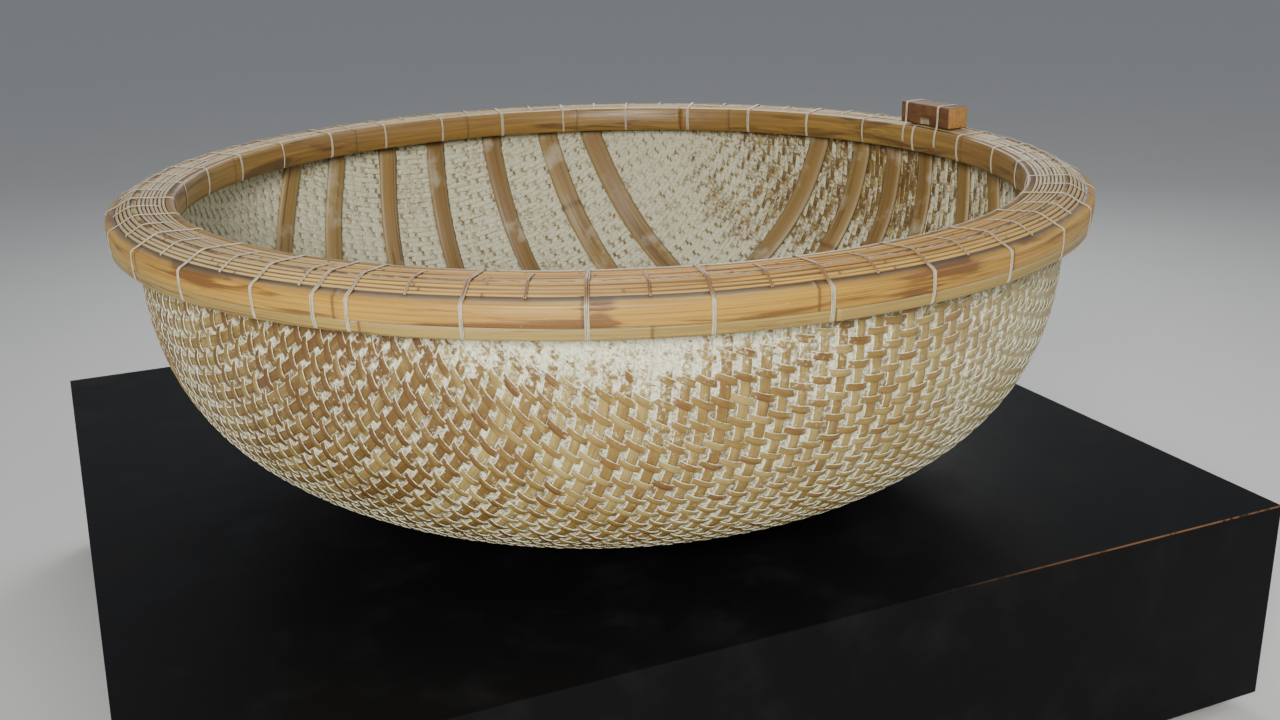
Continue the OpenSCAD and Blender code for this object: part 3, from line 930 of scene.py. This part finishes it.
STRAW = (0.36, 0.27, 0.085)
GOLD = (0.245, 0.155, 0.035)
ORANGE = (0.205, 0.09, 0.016)
BROWN = (0.10, 0.047, 0.013)
CREAM = (0.84, 0.84, 0.63)
GREY_GREEN = (0.60, 0.585, 0.43)
# Painted shade: dark specks for the small shadows in the rough lime.
SPECK_SHADE = (0.30, 0.25, 0.12)
THIN_LIME = (0.50, 0.46, 0.27)
MAT_BELOW = (0.16, 0.105, 0.04)
RIM_DUST = (0.45, 0.41, 0.29)
LIME_SMEAR = (0.47, 0.43, 0.31)
# Painted shade for the gaps between laths and hoops.
PAINTED_GAP_SHADE = (0.05, 0.03, 0.015)


def woven_bamboo():
    """The mat's strips: fibres, patches and stains, with lime along their edges and over them. The lime line
    on a strip's upper edge is stronger, partly a painted highlight, and dark specks in the lime are painted
    shade.
    """
    s = Shader("woven_bamboo")
    along = s.read("weave_at", 1)
    lime, stain, inner = s.split(s.read("marks", 1))
    fibre = s.noise(s.stretch(along, (14, 11, 9)), 1.0, 4.0, 0.6)
    patch = s.noise(s.stretch(along, (26, 1.6, 9)), 1.0, 3.0)
    spots = s.noise(s.point(), 130.0, 4.0, 0.65)
    broad = s.noise(s.point(), 9.0, 3.0)
    tone = s.add(s.read("tone"), s.swing(patch, 0.9))
    colour = s.mix(s.span(tone, 0.2, 0.6), STRAW, GOLD)
    colour = s.mix(s.span(tone, 0.62, 1.0), colour, ORANGE)
    stained = s.span(s.add(stain, s.math("SUBTRACT", tone, 0.5)), 0.0, 1.0)
    colour = s.mix(s.times(stained, 0.8), colour, BROWN)
    colour = s.mix(s.span(fibre, 0.35, 0.75, 0.0, 0.45), colour, BROWN)
    across = s.split(along)[1]
    # Lime lines along both edges of a strip, the upper one twice as strong: that extra is a painted
    # highlight, where light from above catches the edge.
    edge = s.add(s.span(across, 0.34, 0.5, 0.0, 0.8), s.span(across, -0.42, -0.5, 0.0, 0.4))
    edge = s.times(edge, s.span(inner, 0.0, 1.0, 1.0, -0.4))
    # How much lime covers the strip: its marks, the edge lines with their painted highlight, and noise.
    dust = s.add(s.add(s.add(lime, edge), s.swing(spots, 1.8)), s.swing(broad, 1.1))
    cover = s.span(dust, 0.3, 0.72)
    # Painted shade: dark specks for the small shadows in the rough lime; the same noise bumps it.
    relief_and_speck_shade = s.noise(s.point(), 190.0, 5.0, 0.75)
    coat = s.mix(s.span(relief_and_speck_shade, 0.48, 0.62, 0.0, 0.7), s.mix(inner, CREAM, GREY_GREEN), SPECK_SHADE)
    washed = s.span(s.times(stain, -1.0), 0.0, 1.0, 0.0, 0.5)
    s.set("Base Color", s.mix(cover, s.mix(washed, colour, THIN_LIME), coat))
    s.set("Roughness", s.span(cover, 0.0, 1.0, 0.46, 0.88))
    s.bump((fibre, 0.35 * MM), (s.times(cover, relief_and_speck_shade), 1.8 * MM))
    return s.material


def lime():
    """The coat between and over the strips: rough, with painted shade in dark specks, and the mat's brown
    where it is thin.
    """
    s = Shader("lime_coat", 0.9)
    amount, _, inner = s.split(s.read("marks", 1))
    spots = s.noise(s.point(), 160.0, 5.0, 0.7)
    broad = s.noise(s.point(), 14.0, 3.0)
    # Painted shade: dark specks for the small shadows in the rough lime; the same noise bumps it.
    relief_and_speck_shade = s.noise(s.point(), 190.0, 5.0, 0.75)
    coat = s.mix(s.span(relief_and_speck_shade, 0.47, 0.62, 0.0, 0.75), s.mix(inner, CREAM, GREY_GREEN), SPECK_SHADE)
    thin = s.math("SUBTRACT", s.add(spots, s.times(broad, 0.7)), s.times(amount, 0.5))
    s.set("Base Color", s.mix(s.span(thin, 0.66, 1.05), coat, MAT_BELOW))
    s.bump((spots, 2.6 * MM), (relief_and_speck_shade, 1.8 * MM), (broad, 4 * MM))
    return s.material


def bent_bamboo(name, pale, deep, stain_colour, stain_at, gloss, bare=0.0, smeared=0.0):
    """Split bamboo of the rim or the ribs; bare and smeared say how strong its scuffs and limy smears are.

    Its marks are the knots' dark rings, wear (under 0 it is painted gap shade) and stains (under 0 is dust).
    """
    s = Shader(name, gloss)
    at = s.read("weave_at", 1)
    knot, scuff_and_gap_shade, soiled = s.split(s.read("marks", 1))
    fibre = s.noise(s.stretch(at, (9, 24, 13)), 1.0, 5.0, 0.65)
    streak = s.noise(s.stretch(at, (2.6, 5, 13)), 1.0, 3.0, 0.6, 0.4)
    stains = s.noise(s.stretch(at, (4.5, 1.5, 13)), 1.0, 5.0, 0.6, 0.8)
    specks = s.noise(s.point(), 210.0, 3.0, 0.6)
    smear = s.noise(s.point(), 11.0, 4.0, 0.6)
    colour = s.mix(s.span(s.add(s.read("tone"), s.swing(streak, 1.3)), 0.2, 0.85), pale, deep)
    colour = s.mix(s.span(fibre, 0.42, 0.78, 0.0, 0.4), colour, stain_colour)
    stains = s.add(stains, s.times(soiled, 0.28))
    colour = s.mix(s.span(stains, stain_at, stain_at + 0.16, 0.0, 0.78), colour, stain_colour)
    scuffed = s.times(s.span(s.add(scuff_and_gap_shade, s.swing(streak, 2.0)), 0.45, 0.95), s.span(scuff_and_gap_shade, 0.0, 0.3))
    colour = s.mix(s.times(scuffed, bare), colour, CREAM)
    colour = s.mix(s.span(specks, 0.69, 0.76, 0.0, 0.35), colour, CREAM)
    dust = s.math("SUBTRACT", s.swing(streak, 0.9), soiled)
    colour = s.mix(s.span(dust, 0.2, 1.15, 0.0, 0.55), colour, RIM_DUST)
    colour = s.mix(s.span(smear, 0.54, 0.72, 0.0, smeared), colour, LIME_SMEAR)
    colour = s.mix(s.span(knot, 0.15, 1.0, 0.0, 0.72), colour, BROWN)
    # Painted shade: under 0 this mark darkens the sides and backs of laths and hoops, for the shade in the
    # gaps between them.
    colour = s.mix(s.span(s.times(scuff_and_gap_shade, -1.0), 0.1, 0.8, 0.0, 0.85), colour, PAINTED_GAP_SHADE)
    s.set("Base Color", colour)
    s.set("Roughness", s.span(streak, 0.2, 0.8, gloss - 0.08, gloss + 0.14))
    s.bump((fibre, 0.4 * MM), (streak, 0.8 * MM))
    return s.material


def lashing_line():
    """Flat pale line, browned where it is handled."""
    s = Shader("lashing_line", 0.38, Specular_IOR_Level=0.6)
    soil = s.split(s.read("marks", 1))[0]
    at = s.read("weave_at", 1)
    run = s.noise(s.stretch(at, (60, 3, 5)), 1.0, 3.0)
    colour = s.mix(s.span(run, 0.4, 0.62), (0.55, 0.51, 0.39), (0.28, 0.22, 0.13))
    browned = s.span(s.add(soil, s.math("SUBTRACT", run, 0.5)), 0.2, 0.9)
    s.set("Base Color", s.mix(browned, colour, (0.20, 0.10, 0.04)))
    s.bump((s.noise(s.stretch(at, (300, 6, 5)), 1.0), 0.25 * MM))
    return s.material


def block_wood():
    """Sawn red-brown wood, with orange end grain and a pale notch."""
    s = Shader("block_wood", 0.6)
    at = s.read("weave_at", 1)
    end, notch, _ = s.split(s.read("marks", 1))
    grain = s.noise(s.stretch(at, (14, 190, 90)), 1.0, 5.0, 0.6, 1.2)
    rings = s.noise(s.stretch(at, (4, 120, 60)), 1.0, 2.0, 0.5, 2.5)
    blotch = s.noise(s.point(), 40.0, 3.0)
    colour = s.mix(s.span(grain, 0.3, 0.7), (0.14, 0.056, 0.017), (0.075, 0.028, 0.009))
    colour = s.mix(s.span(blotch, 0.5, 0.8, 0.0, 0.5), colour, (0.20, 0.11, 0.04))
    cut = s.mix(s.span(rings, 0.35, 0.65), (0.36, 0.185, 0.04), (0.23, 0.105, 0.02))
    colour = s.mix(s.span(end, 0.3, 0.8), colour, cut)
    s.set("Base Color", s.mix(s.span(notch, 0.2, 0.8, 0.0, 0.7), colour, (0.42, 0.36, 0.26)))
    s.bump((grain, 0.7 * MM))
    return s.material


def plinth_black():
    """Matt black paint with faint brush marks, rubbed through along the front top edge at the right."""
    s = Shader("plinth_black", 0.42, Specular_IOR_Level=0.07)
    across, deep, up = s.split(s.point())
    dust = s.noise(s.point(), 7.0, 5.0, 0.62)
    brush = s.noise(s.stretch(s.point(), (4, 90, 90)), 1.0, 3.0)
    rubbed = s.noise(s.stretch(s.point(), (22, 5, 5)), 1.0, 4.0, 0.7)
    at_top = s.span(up, PLINTH_HI.z - 3.5 * MM, PLINTH_HI.z - 1.5 * MM)
    at_front = s.span(deep, PLINTH_LO.y + 2.5 * MM, PLINTH_LO.y + 1 * MM)
    to_right = s.span(across, 0.2, 0.8)
    edge = s.times(s.times(at_top, at_front), s.times(to_right, s.span(rubbed, 0.3, 0.5)))
    colour = s.mix(s.span(dust, 0.45, 0.8), (0.004, 0.004, 0.0045), (0.009, 0.009, 0.0095))
    s.set("Base Color", s.mix(edge, colour, (0.19, 0.09, 0.04)))
    s.set("Roughness", s.span(dust, 0.3, 0.8, 0.36, 0.56))
    s.bump((brush, 0.25 * MM))
    return s.material


# ---- camera, floor, light

LENS = 37.73
SENSOR = 36
CAMERA_AT = (-1.032, -2.670, 1.593)
CAMERA_PAN, CAMERA_DIP, CAMERA_ROLL = -23.51, 18.49, -1.27
FLOOR_REACH = 60


def turned(degrees, axis):
    return Matrix.Rotation(math.radians(degrees), 4, axis)


def make_camera():
    """The photographer's place and lens, from the fit to the photo."""
    camera = bpy.data.cameras.new("camera")
    camera.sensor_width = SENSOR
    camera.lens = LENS
    camera.dof.use_dof = False
    holder = new_object("camera", camera)
    holder.location = CAMERA_AT
    look = turned(CAMERA_PAN, "Z") @ turned(90 - CAMERA_DIP, "X") @ turned(CAMERA_ROLL, "Z")
    holder.rotation_euler = look.to_euler()
    bpy.context.scene.camera = holder


def soft_light(name, place_at, aim, size, power, colour=(1, 1, 1)):
    lamp = bpy.data.lights.new(name, "AREA")
    lamp.shape = "DISK"
    lamp.size = size
    lamp.energy = power
    lamp.color = colour
    holder = new_object(name, lamp)
    holder.location = place_at
    holder.rotation_euler = (Vector(aim) - Vector(place_at)).to_track_quat("-Z", "Y").to_euler()


def make_studio():
    """A plain pale floor, an even pale sky and four soft lights."""
    s = Shader("studio_floor", 0.75)
    s.set("Base Color", s.mix(s.noise(s.point(), 3.0), (0.55, 0.55, 0.54), (0.58, 0.58, 0.57)))
    mesh = bpy.data.meshes.new("studio_floor")
    corners = [(x * FLOOR_REACH, y * FLOOR_REACH, 0) for x, y in ((-1, -1), (1, -1), (1, 1), (-1, 1))]
    mesh.from_pydata(corners, [], [(0, 1, 2, 3)])
    mesh.materials.append(s.material)
    floor = new_object("studio_floor", mesh)

    world = bpy.data.worlds.new("studio")
    world.use_nodes = True
    background = world.node_tree.nodes["Background"]
    background.inputs["Color"].default_value = (0.80, 0.84, 0.90, 1)
    background.inputs["Strength"].default_value = 0.38
    bpy.context.scene.world = world
    soft_light("key", (-2.3, -3.9, 2.5), (0, -0.3, 0.8), 1.2, 275, (1.0, 0.97, 0.92))
    soft_light("fill", (3.4, -2.2, 2.6), (0, 0, 0.7), 2.4, 50)
    soft_light("top", (0.4, 1.6, 4.0), (0, 0, 0.5), 3.0, 60)
    soft_light("back", (2.0, 3.6, 2.6), (0, 0, 0.7), 2.4, 75)


# ---- the whole

WOVEN = woven_bamboo()
SKIN = bent_bamboo("hoop_skin", (0.46, 0.275, 0.048), (0.30, 0.15, 0.022), (0.10, 0.035, 0.009),
                   stain_at=0.52, gloss=0.36, bare=0.5)
LOWER_SKIN = bent_bamboo("hoop_lower_skin", (0.34, 0.24, 0.065), (0.225, 0.142, 0.034), (0.10, 0.05, 0.02),
                         stain_at=0.54, gloss=0.42, bare=0.5)
INNER_SKIN = bent_bamboo("inner_hoop_skin", (0.31, 0.19, 0.044), (0.19, 0.10, 0.022), (0.065, 0.03, 0.011),
                         stain_at=0.50, gloss=0.36)
LATH = bent_bamboo("split_lath", (0.57, 0.35, 0.072), (0.36, 0.17, 0.026), (0.09, 0.035, 0.011),
                   stain_at=0.53, gloss=0.45, bare=0.2)
RIB = bent_bamboo("rib_slat", (0.28, 0.18, 0.054), (0.185, 0.104, 0.028), (0.065, 0.032, 0.013),
                  stain_at=0.53, gloss=0.46, bare=0.08, smeared=0.55)
LINE = lashing_line()

make_camera()
make_studio()
weave(WOVEN)
lime_coat(lime())
outer_hoop(SKIN, LOWER_SKIN)
inner_hoop(INNER_SKIN)
laths(LATH)
mat_edge(WOVEN)
lashings(LINE)
ribs(RIB)
oar_block(block_wood())
block_lashings(LINE)

BLACK = plinth_black()
for name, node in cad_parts.items():
    if name.startswith(("plinth_", "base_")):
        node.data.materials.clear()
        node.data.materials.append(BLACK)
